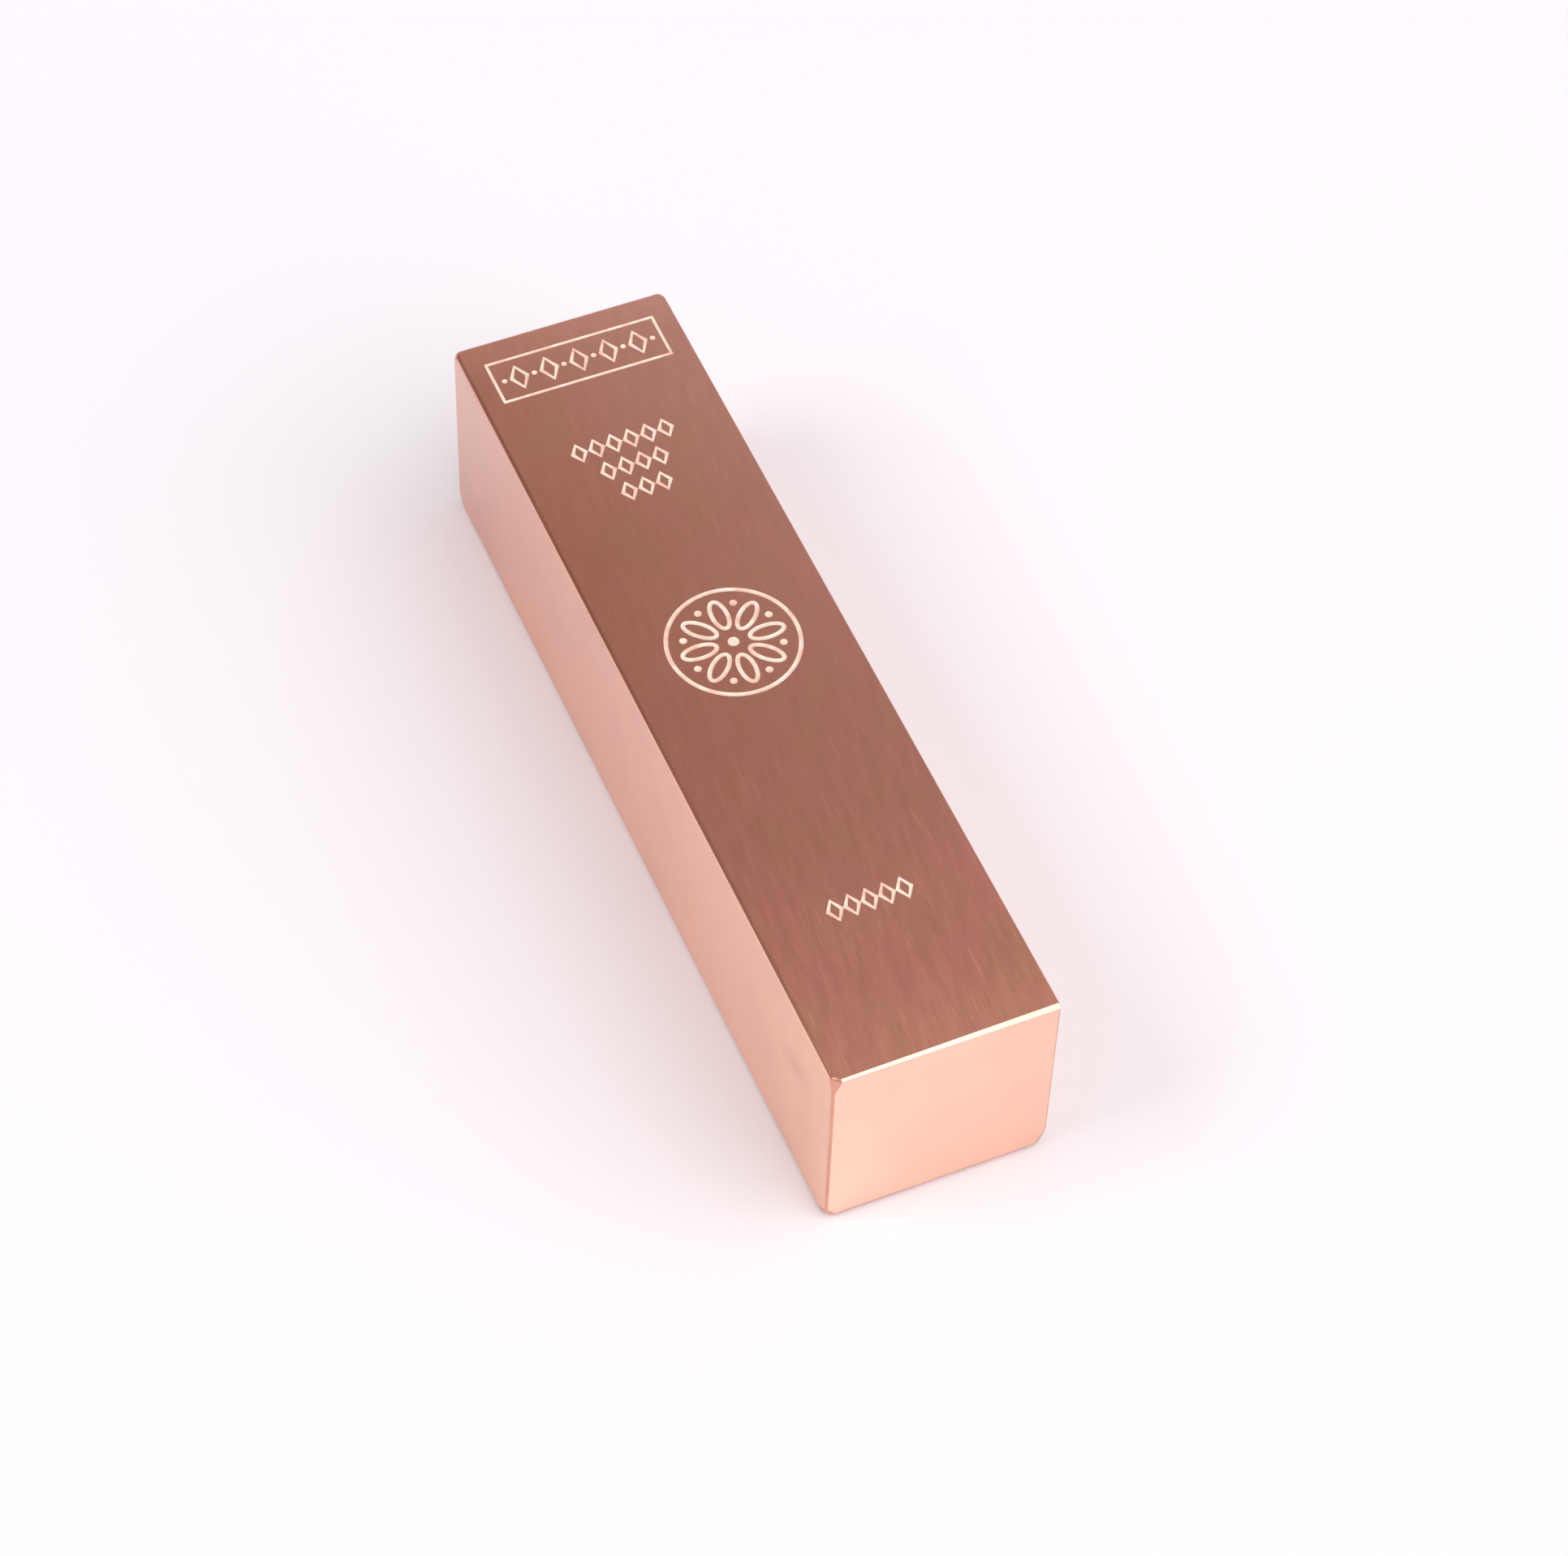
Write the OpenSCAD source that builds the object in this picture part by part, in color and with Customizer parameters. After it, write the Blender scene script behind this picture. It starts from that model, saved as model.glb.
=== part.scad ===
// Copper ingot: a straight square bar lying on one long face.
// The origin is in the middle of that face, the length runs along Y and the top face looks up Z.

/* [Bar] */
// Width of the bar across its top face
bar_width = 29.8; // [20:0.1:60]
// Height of the bar from the face it lies on to its top face
bar_height = 29.8; // [20:0.1:60]
// Length of the bar from end to end
bar_length = 126; // [80:0.5:250]

/* [Edges] */
// Radius of the four long edges
long_edge_r = 0.5; // [0.3:0.05:1]
// Radius of the upper and lower edges of the two ends
end_edge_r = 0.6; // [0.3:0.05:1]
// Radius of the four upright edges
upright_edge_r = 0.7; // [0.3:0.05:1]

/* [Corners] */
// Radius of the ball-shaped ease where three edges meet
corner_ball_r = 5; // [4.5:0.1:8]
// How far an eased corner stands back from a sharp one, along the corner's diagonal
corner_setback = 1.2; // [0.8:0.05:1.35]

/* [Hidden] */
$fn = 96;
// Distance of an ease's centre from each of the three faces that meet at its corner
ball_inset = (corner_ball_r + corner_setback) / sqrt(3);
// Length by which a cutter reaches past the face that it cuts
overcut = 1;

// Rectangle about the origin with its four corners rounded to radius r
module rounded_rectangle(w, h, r) {
    square([w - 2 * r, h], center = true);
    square([w, h - 2 * r], center = true);
    for (x = [-1, 1], y = [-1, 1])
        translate([x * (w / 2 - r), y * (h / 2 - r)]) circle(r);
}

// Bar about its own centre: three rounded outlines crossed, one for each set of four edges
module rounded_bar() {
    intersection() {
        rotate([90, 0, 0])
            linear_extrude(bar_length, center = true)
                rounded_rectangle(bar_width, bar_height, long_edge_r);
        rotate([90, 0, 90])
            linear_extrude(bar_width, center = true)
                rounded_rectangle(bar_length, bar_height, end_edge_r);
        linear_extrude(bar_height, center = true)
            rounded_rectangle(bar_width, bar_length, upright_edge_r);
    }
}

// What the finisher takes off the corner at +X, +Y, +Z: a block hollowed by the ball
module corner_waste() {
    ball_centre = [bar_width, bar_length, bar_height] / 2 - ball_inset * [1, 1, 1];
    translate(ball_centre)
        difference() {
            cube(ball_inset + overcut);
            sphere(corner_ball_r);
        }
}

// The whole ingot, one solid of copper
module ingot() {
    color([0.83, 0.6, 0.52])
        translate([0, 0, bar_height / 2])
            difference() {
                rounded_bar();
                for (x = [0, 1], y = [0, 1], z = [0, 1])
                    mirror([x, 0, 0]) mirror([0, y, 0]) mirror([0, 0, z])
                        corner_waste();
            }
}

ingot();
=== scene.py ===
import math

import bmesh
import bpy
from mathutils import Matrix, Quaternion, Vector


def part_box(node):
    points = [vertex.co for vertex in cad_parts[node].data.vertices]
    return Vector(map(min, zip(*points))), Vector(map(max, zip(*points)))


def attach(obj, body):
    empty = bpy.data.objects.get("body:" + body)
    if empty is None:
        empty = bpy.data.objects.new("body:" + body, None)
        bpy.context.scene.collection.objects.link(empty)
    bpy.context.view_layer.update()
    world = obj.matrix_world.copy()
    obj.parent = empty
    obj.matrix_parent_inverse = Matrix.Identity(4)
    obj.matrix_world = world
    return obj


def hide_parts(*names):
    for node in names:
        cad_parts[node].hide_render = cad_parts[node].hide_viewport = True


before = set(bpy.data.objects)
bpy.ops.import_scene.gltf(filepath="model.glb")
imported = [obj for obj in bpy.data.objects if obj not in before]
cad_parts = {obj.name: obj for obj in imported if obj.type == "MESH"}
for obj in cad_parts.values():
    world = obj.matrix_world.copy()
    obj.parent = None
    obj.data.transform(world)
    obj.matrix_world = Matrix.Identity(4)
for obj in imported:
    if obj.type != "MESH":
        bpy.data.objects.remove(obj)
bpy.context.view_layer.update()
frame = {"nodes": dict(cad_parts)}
print("frame loaded:", ", ".join(frame["nodes"]))

mm = 0.001
barLow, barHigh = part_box("ingot")
barSize = barHigh - barLow
barCentre = (barLow + barHigh) / 2
topZ = barHigh.z


# Camera, at the place the photo was taken from

cameraSet = {
    "azimuth": -25.16,                             # degrees, 0 looks along the bar
    "elevation": 52.36,
    "roll": 2.49,                                  # held a little askew
    "distance": 624.8 * mm,
    "target": (6.66 * mm, 0.18 * mm, 2.31 * mm),   # point in the middle of the picture
    "lens": 109.8,                                 # mm, on a sensor 36 mm wide
    "clipStart": 10 * mm,
}


def addCamera():
    azimuth = math.radians(cameraSet["azimuth"])
    elevation = math.radians(cameraSet["elevation"])
    back = Vector((
        math.sin(azimuth) * math.cos(elevation),
        -math.cos(azimuth) * math.cos(elevation),
        math.sin(elevation),
    ))
    upright = back.to_track_quat("Z", "Y")
    askew = Quaternion((0, 0, 1), math.radians(cameraSet["roll"]))
    bpy.ops.object.camera_add(
        location=Vector(cameraSet["target"]) + back * cameraSet["distance"],
        rotation=(upright @ askew).to_euler(),
    )
    camera = bpy.context.object
    camera.data.lens = cameraSet["lens"]
    camera.data.clip_start = cameraSet["clipStart"]
    bpy.context.scene.camera = camera


addCamera()
print("camera set")


# Small helpers for picking, for modifiers and for materials

def deselectAll():
    if bpy.context.mode != "OBJECT":
        bpy.ops.object.mode_set(mode="OBJECT")
    bpy.ops.object.select_all(action="DESELECT")


# Select the edges of the mesh in edit mode that pass a test
def pickEdges(test):
    mesh = bpy.context.edit_object.data
    bpy.ops.mesh.select_mode(type="EDGE")
    bpy.ops.mesh.select_all(action="DESELECT")
    bm = bmesh.from_edit_mesh(mesh)
    for edge in bm.edges:
        if test(edge):
            edge.select_set(True)
    bm.select_flush_mode()
    bmesh.update_edit_mesh(mesh)


def applyModifier(piece, kind, **settings):
    modifier = piece.modifiers.new(kind.lower(), kind)
    for name, value in settings.items():
        setattr(modifier, name, value)
    deselectAll()
    bpy.context.view_layer.objects.active = piece
    piece.select_set(True)
    bpy.ops.object.modifier_apply(modifier=modifier.name)


# sRGB hex to the linear colour that a socket takes
def linear(hexColour):
    channels = [int(hexColour[i:i + 2], 16) / 255 for i in (1, 3, 5)]
    return [c / 12.92 if c <= 0.04045 else ((c + 0.055) / 1.055) ** 2.4 for c in channels] + [1.0]


# One node, with its settings (properties or input values), the sockets that feed it and a ramp's stops
def addNode(tree, kind, settings=None, links=None, stops=()):
    node = tree.nodes.new(kind)
    for name, value in (settings or {}).items():
        if isinstance(name, str) and hasattr(node, name):
            setattr(node, name, value)
        else:
            node.inputs[name].default_value = value
    for name, source in (links or {}).items():
        tree.links.new(source, node.inputs[name])
    for i, (place, colour) in enumerate(stops):
        elements = node.color_ramp.elements
        stop = elements[i] if i < len(elements) else elements.new(1.0)
        stop.position = place
        stop.color = linear(colour)
    return node


def newMaterial(name):
    material = bpy.data.materials.new(name)
    material.use_nodes = True
    material.node_tree.nodes.clear()
    return material, material.node_tree


# Stage: a white paper floor and soft light from a window and a lamp

stageSet = {
    "floorSize": 6.0,                  # metres, as are the lamps' sizes and distance
    "floorDrop": 0.02 * mm,            # just under the bar, so that the two faces don't fight
    "floorColour": "#fbf6fb",
    "floorRoughness": 0.9,
    "floorGloss": 0.1,
    "room": 0.79,                      # light that comes evenly from the whole room
    "shade": 0.38,                     # its dim corner, which the left top edge mirrors
    "shadeFrom": (-0.68, 0.55, 0.48),
    "shadeInner": 0.93,                # cosines of the angles between which the room dims
    "shadeOuter": 0.75,
    "lampDistance": 2.5,
    "lamps": [
        # a large window in front to the right, and a small lamp on the left
        {"azimuth": -52, "elevation": 36, "width": 3.0, "height": 4.8, "power": 57.0},
        {"azimuth": 172, "elevation": 46, "width": 1.2, "height": 1.2, "power": 16.0},
    ],
}


# Matt white paper: it takes a soft shadow and mirrors next to nothing
def addFloor():
    bpy.ops.mesh.primitive_plane_add(size=stageSet["floorSize"], location=(0, 0, -stageSet["floorDrop"]))
    floor = bpy.context.object
    floor.name = "floor"
    paper, tree = newMaterial("white_paper_matt")
    surface = addNode(tree, "ShaderNodeBsdfPrincipled", {
        "Base Color": linear(stageSet["floorColour"]),
        "Roughness": stageSet["floorRoughness"], "Specular IOR Level": stageSet["floorGloss"],
    })
    addNode(tree, "ShaderNodeOutputMaterial", links={"Surface": surface.outputs[0]})
    floor.data.materials.append(paper)


def addRoom():
    world = bpy.data.worlds.new("soft_room")
    bpy.context.scene.world = world
    world.use_nodes = True
    tree = world.node_tree
    tree.nodes.clear()
    where = addNode(tree, "ShaderNodeTexCoord")
    facing = addNode(
        tree, "ShaderNodeVectorMath",
        {"operation": "DOT_PRODUCT", 1: Vector(stageSet["shadeFrom"]).normalized()},
        {0: where.outputs["Generated"]},
    )
    level = addNode(tree, "ShaderNodeMapRange", {
        "interpolation_type": "SMOOTHSTEP",
        "From Min": stageSet["shadeOuter"], "From Max": stageSet["shadeInner"],
        "To Min": stageSet["room"], "To Max": stageSet["shade"],
    }, {"Value": facing.outputs["Value"]})
    sky = addNode(tree, "ShaderNodeBackground", links={"Strength": level.outputs["Result"]})
    addNode(tree, "ShaderNodeOutputWorld", links={"Surface": sky.outputs[0]})


def addLamp(lamp):
    azimuth = math.radians(lamp["azimuth"])         # 0 is on the right, 90 beyond the far end
    elevation = math.radians(lamp["elevation"])
    towards = Vector((
        math.cos(azimuth) * math.cos(elevation),
        math.sin(azimuth) * math.cos(elevation),
        math.sin(elevation),
    ))
    bpy.ops.object.light_add(
        type="AREA", location=barCentre + towards * stageSet["lampDistance"],
        rotation=towards.to_track_quat("Z", "Y").to_euler())
    light = bpy.context.object.data
    light.shape = "RECTANGLE"
    light.size = lamp["width"]
    light.size_y = lamp["height"]
    light.energy = lamp["power"]


addFloor()
addRoom()
for lamp in stageSet["lamps"]:
    addLamp(lamp)
bpy.context.scene.view_settings.view_transform = "Standard"
print("floor and light set")


# Materials

noiseSet = {
    "low": 0.3, "high": 0.7,    # most of a noise's values lie between these
    "detail": 2.0,              # layers of finer noise within lines and grain
    "cloudDetail": 3.0,         # and within the clouds and patches of the smoother finishes
}
tinting = {"data_type": "RGBA", "blend_type": "MULTIPLY"}      # a Mix node that lays a tint over a colour,
shareIn, colourIn, tintIn, colourOut = 0, 6, 7, 2              # and the numbers of its sockets

# Tones run along the bar from the near end to the far end. They are painted reflection and shade: lighter
# at both ends and darkest brown in the middle, for the brighter and dimmer parts of the room that the top
# mirrors along its length
brushSet = {
    "tones": [
        (0.0, "#f5a790"), (0.12, "#e89d89"), (0.3, "#d89281"), (0.42, "#d4907f"), (0.65, "#d79583"),
        (0.93, "#e1a08f"), (1.0, "#eeac9c"),
    ],
    "acrossTints": [(0.0, "#ede0d7"), (1.0, "#ffffff")],       # browner on the left,
    "acrossFrom": -60 * mm,                                    # which grows from here
    "acrossTo": 20 * mm,                                       # to here along the bar
    "lineTints": [(0.35, "#fafafa"), (0.65, "#ffffff")],
    "lineSize": (0.3 * mm, 9 * mm, 1),         # brush lines are finer: drawn coarser so that they show
    "cloudTints": [(0.35, "#f4f4f4"), (0.65, "#ffffff")],
    "cloudSize": (1.3 * mm, 8 * mm, 1),
    "cloudTurn": -8,                           # degrees: the bar was held askew to the belt
    "mottleTints": [(0.35, "#fff9ff"), (0.65, "#fafff5")],     # rosy to tan
    "mottleSize": (7 * mm, 10 * mm, 1),
    "mottleTurn": -30,
    # scratches: real marks, drawn as darker and lighter lines that paint the shadow and highlight of their
    # relief
    "scratchTints": [(0.27, "#dedede"), (0.34, "#f0f0f0"), (0.62, "#f0f0f0"), (0.71, "#ffffff")],
    "scratchSize": (0.55 * mm, 7 * mm, 1),
    "scratchTurn": -3,
    "wornFrom": 0 * mm,         # all four patterns grow from here towards the near end
    "wornTo": -50 * mm,
    "wornShare": (0.45, 1.0),
    "roughness": (0.30, 0.40),
    "anisotropy": 0.5,
    "lineDepth": 0.002 * mm,
}


# Copper drawn over a belt along its length: brown from the brush lines and from painted shade, its tones
# darker than copper for the dim room that the top mirrors, and it blurs what it mirrors
def brushedCopper():
    material, tree = newMaterial("copper_belt_brushed_painted_light")
    where = addNode(tree, "ShaderNodeTexCoord")
    place = addNode(tree, "ShaderNodeSeparateXYZ", links={"Vector": where.outputs["Object"]})
    along = addNode(tree, "ShaderNodeMapRange", {"From Min": barLow.y, "From Max": barHigh.y},
                    {"Value": place.outputs["Y"]})
    tone = addNode(tree, "ShaderNodeValToRGB", links={"Fac": along.outputs["Result"]},
                   stops=brushSet["tones"])
    tone.color_ramp.interpolation = "EASE"
    across = addNode(tree, "ShaderNodeMapRange", {"From Min": barLow.x, "From Max": barHigh.x},
                     {"Value": place.outputs["X"]})
    acrossTint = addNode(tree, "ShaderNodeValToRGB", links={"Fac": across.outputs["Result"]},
                         stops=brushSet["acrossTints"])
    acrossShare = addNode(tree, "ShaderNodeMapRange", {
        "From Min": brushSet["acrossFrom"], "From Max": brushSet["acrossTo"],
    }, {"Value": place.outputs["Y"]})
    base = addNode(tree, "ShaderNodeMix", tinting, {
        shareIn: acrossShare.outputs["Result"],
        colourIn: tone.outputs["Color"], tintIn: acrossTint.outputs["Color"],
    })
    worn = addNode(tree, "ShaderNodeMapRange", {
        "From Min": brushSet["wornFrom"], "From Max": brushSet["wornTo"],
        "To Min": brushSet["wornShare"][0], "To Max": brushSet["wornShare"][1],
    }, {"Value": place.outputs["Y"]})

    noises = {}
    colour = base.outputs[colourOut]
    for name in ("line", "cloud", "mottle", "scratch"):
        turn = math.radians(brushSet.get(name + "Turn", 0))
        spread = addNode(tree, "ShaderNodeMapping", {
            "vector_type": "TEXTURE", "Rotation": (0, 0, turn), "Scale": brushSet[name + "Size"],
        }, {"Vector": where.outputs["Object"]})
        noises[name] = addNode(tree, "ShaderNodeTexNoise", {"Scale": 1.0, "Detail": noiseSet["detail"]},
                               {"Vector": spread.outputs[0]})
        tint = addNode(tree, "ShaderNodeValToRGB", links={"Fac": noises[name].outputs["Fac"]},
                       stops=brushSet[name + "Tints"])
        mixed = addNode(tree, "ShaderNodeMix", tinting, {
            shareIn: worn.outputs["Result"], colourIn: colour, tintIn: tint.outputs["Color"],
        })
        colour = mixed.outputs[colourOut]

    rough = addNode(tree, "ShaderNodeMapRange", {
        "From Min": noiseSet["low"], "From Max": noiseSet["high"],
        "To Min": brushSet["roughness"][0], "To Max": brushSet["roughness"][1],
    }, {"Value": noises["line"].outputs["Fac"]})
    bump = addNode(tree, "ShaderNodeBump", {"Distance": brushSet["lineDepth"], "Strength": 1.0},
                   {"Height": noises["line"].outputs["Fac"]})
    grain = addNode(tree, "ShaderNodeTangent", {"direction_type": "RADIAL", "axis": "Y"})
    surface = addNode(tree, "ShaderNodeBsdfPrincipled", {
        "Metallic": 1.0, "Anisotropic": brushSet["anisotropy"],
    }, {
        "Base Color": colour, "Roughness": rough.outputs["Result"],
        "Normal": bump.outputs["Normal"], "Tangent": grain.outputs["Tangent"],
    })
    addNode(tree, "ShaderNodeOutputMaterial", links={"Surface": surface.outputs[0]})
    return material


# The smoother finishes: faint clouds of handling over fine lines along the bar
sideSet = {
    # the sides' tones are painted reflection of the floor beside the bar: lighter at the near end, darker
    # at the far end where that floor lies in shadow
    "tones": [(0.0, "#ffcdb2"), (0.5, "#f4bea6"), (1.0, "#e7b19c")],
    "toneAxis": "Y",
    "cloudTints": [(0.3, "#f7f4f6"), (0.5, "#ffffff")],
    "cloudSize": 12 * mm,
    "markTints": [(0.0, "#ffffff"), (1.0, "#f1ebee")],         # a faint mark of handling, on the left
    "markPlace": (barLow.x, -53 * mm, 19.6 * mm),
    "markSize": (3 * mm, 6 * mm, 3 * mm),
    "markTurn": -16,            # degrees
    "lineWidth": 0.35 * mm,     # polishing lines, drawn coarser than they are so that they show
    "lineLength": 16 * mm,
    "roughness": (0.18, 0.28),
    "lineDepth": 0.0015 * mm,
}
endSet = {
    "tones": [(0.0, "#ffd8c2"), (1.0, "#ffcdb5")],
    "toneAxis": "X",            # on the ends the tones run across the bar
    "cloudTints": [(0.35, "#f9f9f9"), (0.65, "#ffffff")],
    "cloudSize": 11 * mm,
    "lineWidth": 0.5 * mm,      # seen end on, so that these lines are a fine grain
    "lineLength": 5 * mm,
    "roughness": (0.14, 0.22),
    "lineDepth": 0.001 * mm,
}
edgeSet = {
    "tones": [(0.0, "#e6a991"), (1.0, "#e6a991")],
    "toneAxis": "Y",
    "cloudTints": [(0.35, "#f1f1f1"), (0.65, "#ffffff")],
    "cloudSize": 4 * mm,
    "lineWidth": 0.2 * mm,
    "lineLength": 3 * mm,
    "roughness": (0.22, 0.34),
    "lineDepth": 0.002 * mm,
}


def smoothCopper(name, look):
    material, tree = newMaterial(name)
    where = addNode(tree, "ShaderNodeTexCoord")
    place = addNode(tree, "ShaderNodeSeparateXYZ", links={"Vector": where.outputs["Object"]})
    axis = "XYZ".index(look["toneAxis"])
    along = addNode(tree, "ShaderNodeMapRange", {"From Min": barLow[axis], "From Max": barHigh[axis]},
                    {"Value": place.outputs[axis]})
    tone = addNode(tree, "ShaderNodeValToRGB", links={"Fac": along.outputs["Result"]}, stops=look["tones"])
    clouds = addNode(tree, "ShaderNodeTexNoise", {
        "Scale": 1 / look["cloudSize"], "Detail": noiseSet["cloudDetail"],
    }, {"Vector": where.outputs["Object"]})
    cloudTint = addNode(tree, "ShaderNodeValToRGB", links={"Fac": clouds.outputs["Fac"]},
                        stops=look["cloudTints"])
    colour = addNode(tree, "ShaderNodeMix", {**tinting, shareIn: 1.0},
                     {colourIn: tone.outputs["Color"], tintIn: cloudTint.outputs["Color"]})
    if "markPlace" in look:
        spread = addNode(tree, "ShaderNodeMapping", {
            "vector_type": "TEXTURE", "Location": look["markPlace"], "Scale": look["markSize"],
            "Rotation": (math.radians(look["markTurn"]), 0, 0),
        }, {"Vector": where.outputs["Object"]})
        mark = addNode(tree, "ShaderNodeTexGradient", {"gradient_type": "SPHERICAL"},
                       {"Vector": spread.outputs[0]})
        markTint = addNode(tree, "ShaderNodeValToRGB", links={"Fac": mark.outputs["Fac"]},
                           stops=look["markTints"])
        colour = addNode(tree, "ShaderNodeMix", {**tinting, shareIn: 1.0},
                         {colourIn: colour.outputs[colourOut], tintIn: markTint.outputs["Color"]})
    lines = addNode(tree, "ShaderNodeMapping", {
        "vector_type": "TEXTURE", "Scale": (look["lineWidth"], look["lineLength"], look["lineWidth"]),
    }, {"Vector": where.outputs["Object"]})
    lineNoise = addNode(tree, "ShaderNodeTexNoise", {"Scale": 1.0, "Detail": noiseSet["detail"]},
                        {"Vector": lines.outputs[0]})
    rough = addNode(tree, "ShaderNodeMapRange", {
        "From Min": noiseSet["low"], "From Max": noiseSet["high"],
        "To Min": look["roughness"][0], "To Max": look["roughness"][1],
    }, {"Value": clouds.outputs["Fac"]})
    bump = addNode(tree, "ShaderNodeBump", {"Distance": look["lineDepth"], "Strength": 1.0},
                   {"Height": lineNoise.outputs["Fac"]})
    surface = addNode(tree, "ShaderNodeBsdfPrincipled", {"Metallic": 1.0}, {
        "Base Color": colour.outputs[colourOut], "Roughness": rough.outputs["Result"],
        "Normal": bump.outputs["Normal"],
    })
    addNode(tree, "ShaderNodeOutputMaterial", links={"Surface": surface.outputs[0]})
    return material


cutSet = {
    # the cut's cream to peach is partly painted highlight: paler than copper can be, it stands in for the
    # bright light that the cuts catch
    "tones": [(0.32, "#ffcbb6"), (0.58, "#ffecdc")],
    "patchSize": 1.6 * mm,      # the cut turns from cream to peach about as often as this
    "grainSize": 0.2 * mm,
    "grainDepth": 0.01 * mm,
    "metallic": 0.35,           # frosted: most of the light scatters
    "roughness": 0.6,
}


# Copper as the graver leaves it: frosted, and paler than the face that it cuts, partly from the frosting
# and partly as a painted highlight for the bright light that the cuts catch
def engravedCopper():
    material, tree = newMaterial("copper_engraved_painted_highlight")
    where = addNode(tree, "ShaderNodeTexCoord")
    patches = addNode(tree, "ShaderNodeTexNoise", {
        "Scale": 1 / cutSet["patchSize"], "Detail": noiseSet["cloudDetail"],
    }, {"Vector": where.outputs["Object"]})
    grain = addNode(tree, "ShaderNodeTexNoise", {
        "Scale": 1 / cutSet["grainSize"], "Detail": noiseSet["detail"],
    }, {"Vector": where.outputs["Object"]})
    tone = addNode(tree, "ShaderNodeValToRGB", links={"Fac": patches.outputs["Fac"]}, stops=cutSet["tones"])
    bump = addNode(tree, "ShaderNodeBump", {"Distance": cutSet["grainDepth"], "Strength": 1.0},
                   {"Height": grain.outputs["Fac"]})
    surface = addNode(tree, "ShaderNodeBsdfPrincipled", {
        "Metallic": cutSet["metallic"], "Roughness": cutSet["roughness"],
    }, {
        "Base Color": tone.outputs["Color"], "Normal": bump.outputs["Normal"],
    })
    addNode(tree, "ShaderNodeOutputMaterial", links={"Surface": surface.outputs[0]})
    return material


brushed = brushedCopper()
# long sides: their tones along the bar are painted reflection of the floor beside them
satin = smoothCopper("copper_satin_ground_painted_reflection", sideSet)        # long sides: pale rose, a blurred mirror
polished = smoothCopper("copper_wheel_polished", endSet)    # ends: paler still, and a clearer mirror
linished = smoothCopper("copper_belt_linished", edgeSet)    # edges: darker, as the belt breaks them
engraved = engravedCopper()
print("materials made")


# The bar: a block with its corners taken off and every edge broken by hand, each a little differently

barSet = {
    "edges": {                  # how wide the edge between two sides is broken
        "far top": 0.8 * mm, "left top": 0.6 * mm, "right top": 0.3 * mm,
        "bottom near": 0.85 * mm, "bottom far": 0.5 * mm,
        "bottom left": 0.45 * mm, "bottom right": 0.45 * mm,
        "left near": 0.34 * mm, "near right": 0.3 * mm, "far left": 0.6 * mm, "far right": 0.6 * mm,
    },
    "chamfer": (0.25 * mm, 0.52 * mm),      # along the near end's top, wider on the right
    "chamferRim": 0.1 * mm,
    "corners": {                # how far a corner is taken back across, along and up or down, and its rim
        "left near top": (1.1 * mm, 1.2 * mm, 2.3 * mm, 0.26 * mm),
        "far left top": (1.1 * mm, 1.2 * mm, 1.5 * mm, 0.45 * mm),
        "far right top": (0.95 * mm, 1.15 * mm, 1.35 * mm, 0.42 * mm),
        "bottom left near": (1.3 * mm, 1.6 * mm, 1.7 * mm, 0.55 * mm),
        "bottom near right": (1.3 * mm, 1.6 * mm, 2.8 * mm, 0.55 * mm),
        "bottom far left": (1.7 * mm, 1.7 * mm, 1.7 * mm, 0.6 * mm),
        "bottom far right": (1.7 * mm, 1.7 * mm, 1.7 * mm, 0.6 * mm),
    },
    "widestEdge": 1.0 * mm,     # the width that a bevel weight of 1 stands for
    "segments": 6,
    "profile": 0.42,            # between a flat chamfer, 0.25, and a round edge, 0.5
    "topReach": {               # degrees that the top's brushing rolls over towards each side or corner
        "near": 12, "left": 56, "right": 70, "far": 75,
        "left near": 62, "near right": 12, "far left": 75, "far right": 75,
    },
    "topTilt": 1,               # degrees from straight up: the top itself has less,
    "sideTilt": 91,             # the sides have up to this,
    "bottomTilt": 179,          # and the bottom has more
    "leaning": 0.02,            # cosine above which a face leans to a side,
    "straight": 0.9999,         # and above which it looks straight that way
    "smoothAngle": 30,          # degrees: sharper creases stay
    "faceWeight": 100,          # 50 is neutral: above it, large faces are shaded flat
}
sides = {
    "left": Vector((-1, 0, 0)), "right": Vector((1, 0, 0)), "near": Vector((0, -1, 0)),
    "far": Vector((0, 1, 0)), "bottom": Vector((0, 0, -1)), "top": Vector((0, 0, 1)),
}


def looksTo(faces, way):
    return any(face.normal.dot(way) > barSet["straight"] for face in faces)


# The sides that some faces look to, named in alphabetical order
def sideNames(faces):
    return " ".join(sorted(name for name, way in sides.items() if looksTo(faces, way)))


def weighEdges(test, width):
    pickEdges(test)
    bpy.ops.transform.edge_bevelweight(value=width / barSet["widestEdge"])


# Take off all that lies beyond a plane, and round the rim of the cut
def cutOff(point, outward, rim):
    outward.normalize()
    bpy.ops.mesh.select_all(action="SELECT")
    bpy.ops.mesh.bisect(plane_co=point, plane_no=outward, use_fill=True, clear_outer=True)
    weighEdges(lambda edge: looksTo(edge.link_faces, outward), rim)


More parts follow.
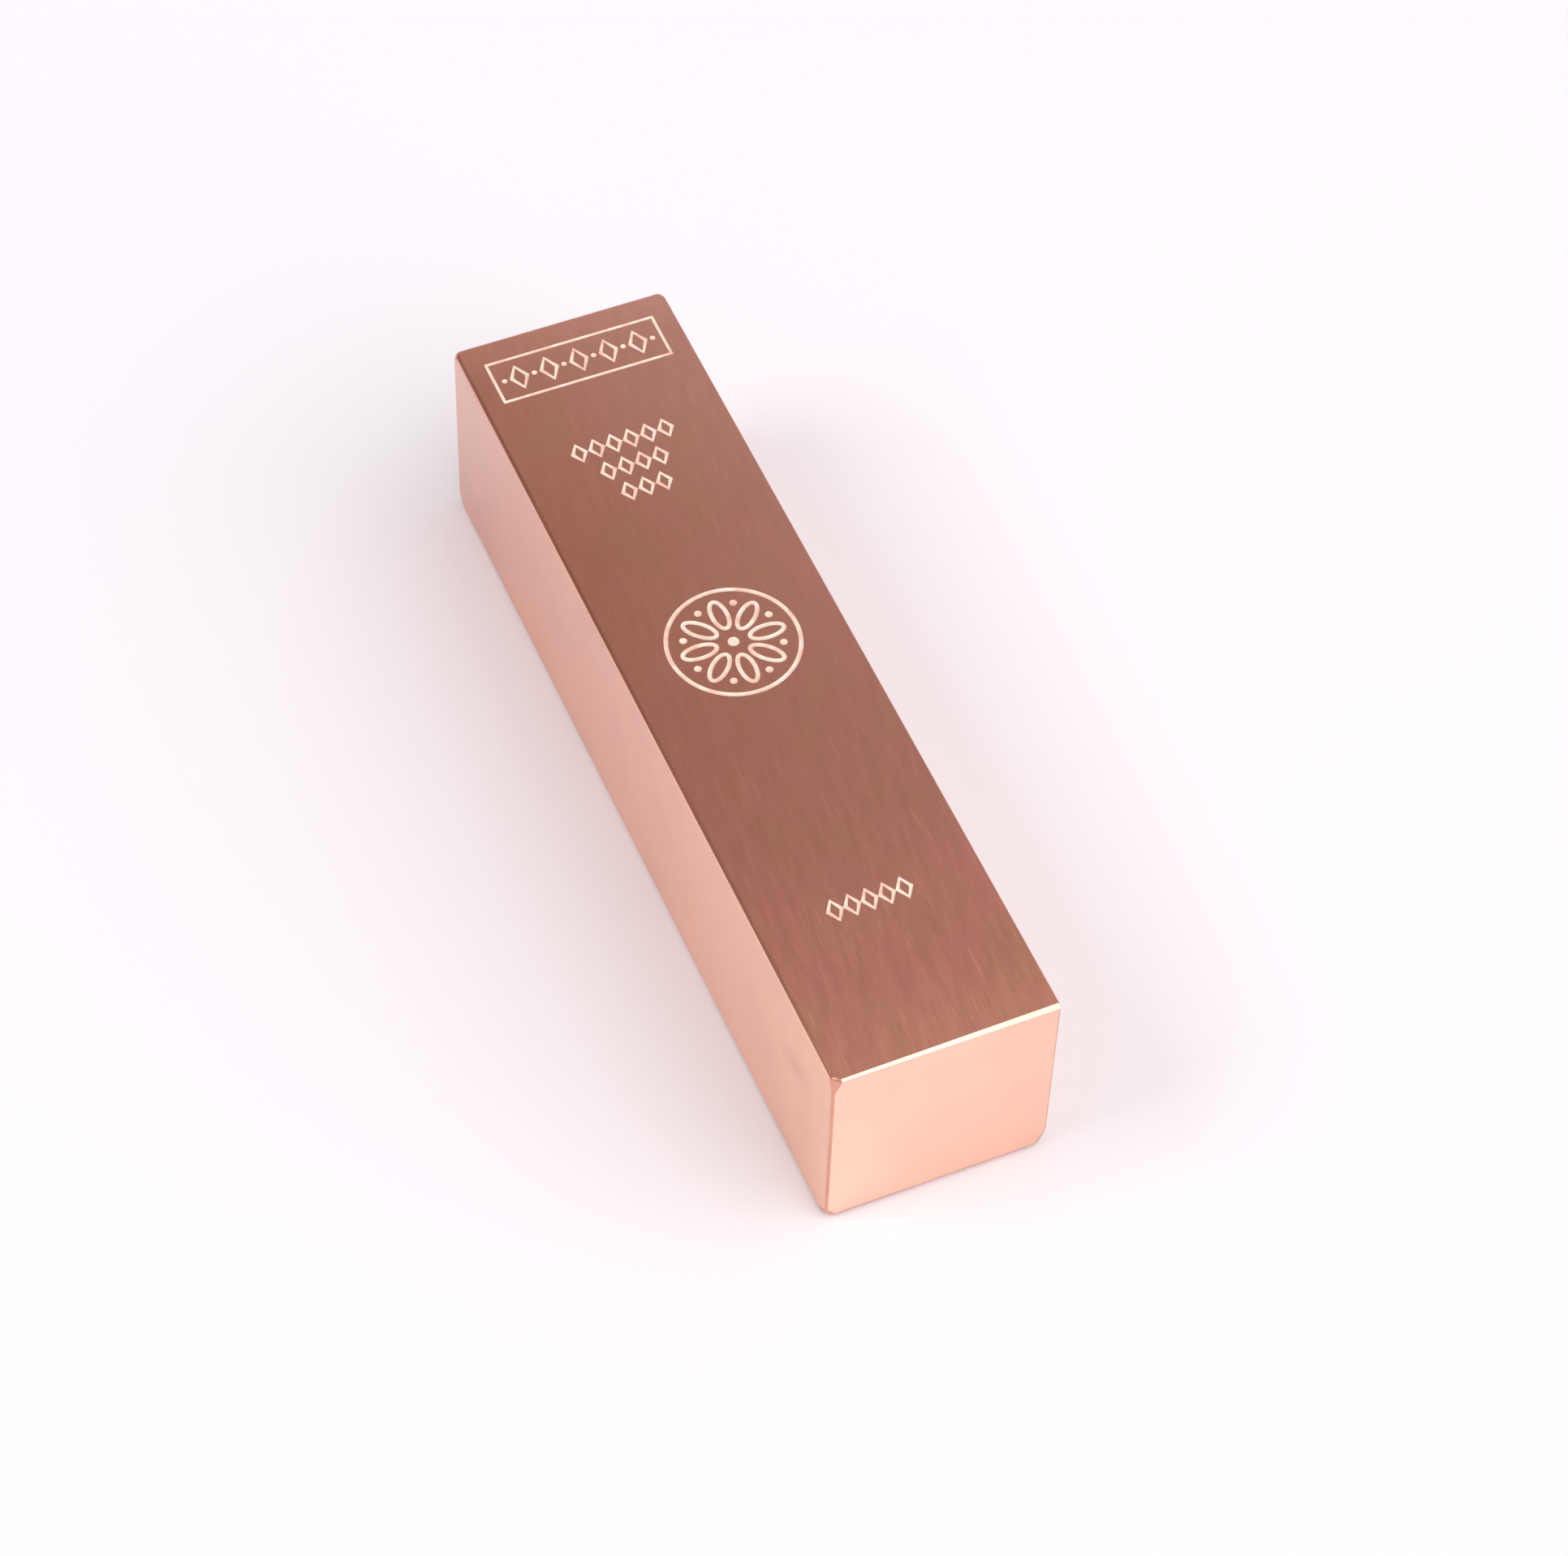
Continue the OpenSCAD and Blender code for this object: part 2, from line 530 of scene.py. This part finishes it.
def makeBar():
    deselectAll()
    bpy.ops.mesh.primitive_cube_add(size=1, location=barCentre, scale=barSize)
    bar = bpy.context.object
    bar.name = "engraved_bar"
    bpy.ops.object.transform_apply(location=True, rotation=True, scale=True)
    bpy.ops.object.mode_set(mode="EDIT")
    onLeft, onRight = barSet["chamfer"]
    cutOff(
        Vector((barLow.x, barLow.y + onLeft, barHigh.z)),
        Vector((onRight - onLeft, -barSize.x, barSize.x)), barSet["chamferRim"])
    for corner, (*reach, rim) in barSet["corners"].items():
        ways = sum((sides[name] for name in corner.split()), Vector())
        tip = barCentre + ways * barSize / 2
        outward = Vector(way / back for way, back in zip(ways, reach))
        cutOff(tip - Vector((ways.x * reach[0], 0, 0)), outward, rim)
    for name, width in barSet["edges"].items():
        weighEdges(lambda edge: sideNames(edge.link_faces) == name, width)
    applyModifier(bar, "BEVEL", width=barSet["widestEdge"], limit_method="WEIGHT", offset_type="OFFSET",
                  segments=barSet["segments"], profile=barSet["profile"])
    return bar


# Each side takes its finish, and so do the edges of the top: the others and the corners take the belt's
def dressBar(bar):
    finishes = {"far": polished, "left": satin, "near": polished, "right": satin}
    slots = [linished, brushed, satin, polished]
    for material in slots:
        bar.data.materials.append(material)
    for face in bar.data.polygons:
        tilt = math.degrees(face.normal.angle(sides["top"]))
        leans = [name for name in finishes if face.normal.dot(sides[name]) > barSet["leaning"]]
        if tilt < barSet["topReach"].get(" ".join(leans), barSet["topTilt"]):
            finish = brushed
        elif tilt > barSet["bottomTilt"]:
            finish = satin
        elif len(leans) == 1 and tilt < barSet["sideTilt"]:
            finish = finishes[leans[0]]
        else:
            finish = linished
        face.material_index = slots.index(finish)


bar = makeBar()
dressBar(bar)
print("bar shaped:", len(bar.data.polygons), "faces")


# Engraving: lines and beads cut into the top face

lineSet = {
    "width": 0.62 * mm,
    "depth": 0.1 * mm,
    "roundSteps": 6,
    "lozengeSteps": 4,
    "beadDepth": 0.14 * mm,
    "beadSegments": 20,
    "beadRings": 12,
}
frameSet = {"centre": (0.0, 55.3 * mm), "width": 23.6 * mm, "height": 7.0 * mm}
lozengeRows = [
    {"y": frameSet["centre"][1], "count": 5, "height": 3.9 * mm, "width": 2.2 * mm, "pitch": 4.2 * mm,
     "bead": 0.75 * mm},
    {"y": 39.9 * mm, "count": 6, "height": 2.9 * mm, "width": 1.8 * mm, "pitch": 2.42 * mm},
    {"y": 35.7 * mm, "count": 4, "height": 2.9 * mm, "width": 1.8 * mm, "pitch": 2.42 * mm},
    {"y": 31.5 * mm, "count": 3, "height": 2.9 * mm, "width": 1.8 * mm, "pitch": 2.42 * mm},
    {"y": -39.9 * mm, "count": 5, "height": 3.0 * mm, "width": 1.8 * mm, "pitch": 2.3 * mm},
]
rosetteSet = {
    "centre": (0.3 * mm, 3.35 * mm),
    "ring": 8.55 * mm,          # radius
    "ringSteps": 96,
    "petals": 8,
    "petalMiddle": 4.6 * mm,    # from the centre
    "petalLength": 4.6 * mm,
    "petalWidth": 2.0 * mm,
    "petalSteps": 28,
    "beadMiddle": 6.35 * mm,    # beads lie between the petals,
    "beadShift": 0.5,           # half a petal on
    "bead": 1.0 * mm,
    "eye": 1.5 * mm,            # the bead in the middle
}

# Round-nosed cutter: its radius, and the height at which its centre runs
cutterRadius = ((lineSet["width"] / 2) ** 2 + lineSet["depth"] ** 2) / (2 * lineSet["depth"])
cutterZ = topZ + cutterRadius - lineSet["depth"]


# A closed line: a lozenge has few steps, a ring or a petal many
def addLoop(x, y, width, height, steps, turn=0.0):
    bpy.ops.mesh.primitive_circle_add(vertices=steps, radius=0.5, fill_type="NOTHING")
    loop = bpy.context.object
    loop.scale = (width, height, 1)
    loop.rotation_euler.z = turn
    loop.location = (x, y, cutterZ)
    return loop


def addFrame():
    bpy.ops.mesh.primitive_plane_add(size=1)
    outline = bpy.context.object
    outline.scale = (frameSet["width"], frameSet["height"], 1)
    outline.location = (*frameSet["centre"], cutterZ)
    bpy.ops.object.mode_set(mode="EDIT")
    bpy.ops.mesh.select_all(action="SELECT")
    bpy.ops.mesh.delete(type="ONLY_FACE")
    bpy.ops.object.mode_set(mode="OBJECT")
    return outline


# Places of a row's lozenges, or of the beads on both sides of them
def rowPlaces(row, count):
    return [(i - (count - 1) / 2) * row["pitch"] for i in range(count)]


# Places round the rosette and their turns, the first of them shifted by a share of a petal
def rosettePlaces(distance, shift):
    x, y = rosetteSet["centre"]
    for i in range(rosetteSet["petals"]):
        turn = 2 * math.pi * (i + shift) / rosetteSet["petals"]
        yield x + distance * math.cos(turn), y + distance * math.sin(turn), turn


def joined(pieces):
    deselectAll()
    for piece in pieces:
        piece.select_set(True)
    bpy.context.view_layer.objects.active = pieces[0]
    bpy.ops.object.transform_apply(location=True, rotation=True, scale=True)
    bpy.ops.object.join()
    return bpy.context.object


def makeLineCutter():
    deselectAll()
    loops = [addFrame()]
    for row in lozengeRows:
        for x in rowPlaces(row, row["count"]):
            loops.append(addLoop(x, row["y"], row["width"], row["height"], lineSet["lozengeSteps"]))
    ring = 2 * rosetteSet["ring"]
    loops.append(addLoop(*rosetteSet["centre"], ring, ring, rosetteSet["ringSteps"]))
    for x, y, turn in rosettePlaces(rosetteSet["petalMiddle"], 0):
        loops.append(addLoop(
            x, y, rosetteSet["petalLength"], rosetteSet["petalWidth"], rosetteSet["petalSteps"], turn))
    joined(loops)
    bpy.ops.object.convert(target="CURVE")
    cutter = bpy.context.object
    cutter.data.bevel_depth = cutterRadius
    cutter.data.bevel_resolution = lineSet["roundSteps"]
    bpy.ops.object.convert(target="MESH")
    return bpy.context.object


def addBead(x, y, width):
    bpy.ops.mesh.primitive_uv_sphere_add(
        segments=lineSet["beadSegments"], ring_count=lineSet["beadRings"], radius=1,
        location=(x, y, topZ), scale=(width / 2, width / 2, lineSet["beadDepth"]))
    return bpy.context.object


def makeBeadCutter():
    deselectAll()
    beads = [addBead(*rosetteSet["centre"], rosetteSet["eye"])]
    for x, y, _ in rosettePlaces(rosetteSet["beadMiddle"], rosetteSet["beadShift"]):
        beads.append(addBead(x, y, rosetteSet["bead"]))
    for row in lozengeRows:
        if "bead" in row:
            beads += [addBead(x, row["y"], row["bead"]) for x in rowPlaces(row, row["count"] + 1)]
    return joined(beads)


def cut(cutter):
    cutter.data.materials.clear()
    cutter.data.materials.append(engraved)
    deselectAll()
    bpy.context.view_layer.objects.active = cutter
    bpy.ops.object.mode_set(mode="EDIT")
    bpy.ops.mesh.select_all(action="SELECT")
    bpy.ops.mesh.normals_make_consistent(inside=False)
    bpy.ops.object.mode_set(mode="OBJECT")
    applyModifier(bar, "BOOLEAN", operation="DIFFERENCE", solver="EXACT", use_self=True, object=cutter,
                  material_mode="TRANSFER")
    bpy.data.objects.remove(cutter)


cut(makeLineCutter())
cut(makeBeadCutter())
print("engraving cut:", len(bar.data.polygons), "faces")


# Finish: smooth shading, and the body that the bar rides on

def finishBar():
    deselectAll()
    bar.select_set(True)
    bpy.context.view_layer.objects.active = bar
    bpy.ops.object.shade_smooth_by_angle(angle=math.radians(barSet["smoothAngle"]))
    applyModifier(bar, "WEIGHTED_NORMAL", mode="FACE_AREA", weight=barSet["faceWeight"], keep_sharp=True)
    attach(bar, "root")
    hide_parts("ingot")


finishBar()
print("bar finished")
